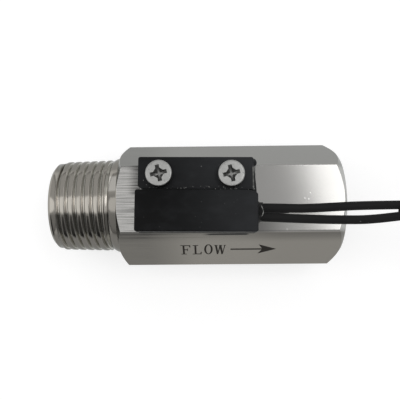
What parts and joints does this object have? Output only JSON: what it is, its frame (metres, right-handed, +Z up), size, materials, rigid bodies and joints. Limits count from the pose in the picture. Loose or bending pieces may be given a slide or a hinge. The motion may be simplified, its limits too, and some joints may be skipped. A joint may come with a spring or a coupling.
{
  "type": "flow sensor",
  "caption": "Inline piston flow switch: hexagon body with male inlet and female outlet pipe threads, a sprung magnetic piston inside and a screwed-on reed module with a two-core lead.",
  "frame": {"origin": "on the flow axis, in the plane of the hexagon's inlet shoulder", "axes": "+X with the flow from inlet to outlet, +Z up through the reed module, +Y towards the module's screws"},
  "size_m": [0.1773, 0.0315, 0.0302],
  "materials": {
    "stainless": "drawn bar, turned threads",
    "acetal": "moulded, natural white",
    "magnet_plating": "nickel plated",
    "spring_steel": "bright spring wire",
    "black_moulding": "moulded, dusty and scuffed",
    "screw_plating": "nickel plated",
    "capsule_glass": "clear green glass",
    "reed_alloy": "tinned nickel iron",
    "copper": "bare stranded copper",
    "wire_skin": "extruded insulation",
    "tin": "solder",
    "black_resin": "poured resin",
    "sheath_skin": "extruded sheath",
    "tie_nylon": "moulded strap"
  },
  "bodies": {
    "switch_body": {"hex_body": "stainless", "return_spring": "spring_steel", "spring_retainer": "acetal", "retaining_ring": "spring_steel", "reed_housing": "black_moulding", "module_screws": "screw_plating", "reed_glass": "capsule_glass", "reed_blade_outlet": "reed_alloy", "reed_blade_inlet": "reed_alloy", "conductor_ends": "copper", "inner_wires": "wire_skin", "solder_joints": "tin", "wire_front": "wire_skin", "wire_rear": "wire_skin", "potting": "black_resin", "cable_run": "sheath_skin", "cable_hank": "sheath_skin", "hank_tie": "tie_nylon", "tail_front": "wire_skin", "tail_rear": "wire_skin", "tinned_ends": "tin"},
    "piston_set": {"piston": "acetal", "piston_magnet": "magnet_plating", "magnet_cap": "acetal"}
  },
  "joints": [
    {"name": "piston_slide", "type": "slide", "parent": "switch_body", "child": "piston_set", "axis": [1, 0, 0], "range_m": [0, 0.007], "stiffness_N_per_m": 216, "springref_m": -0.004, "deforming": ["return_spring"]}
  ]
}
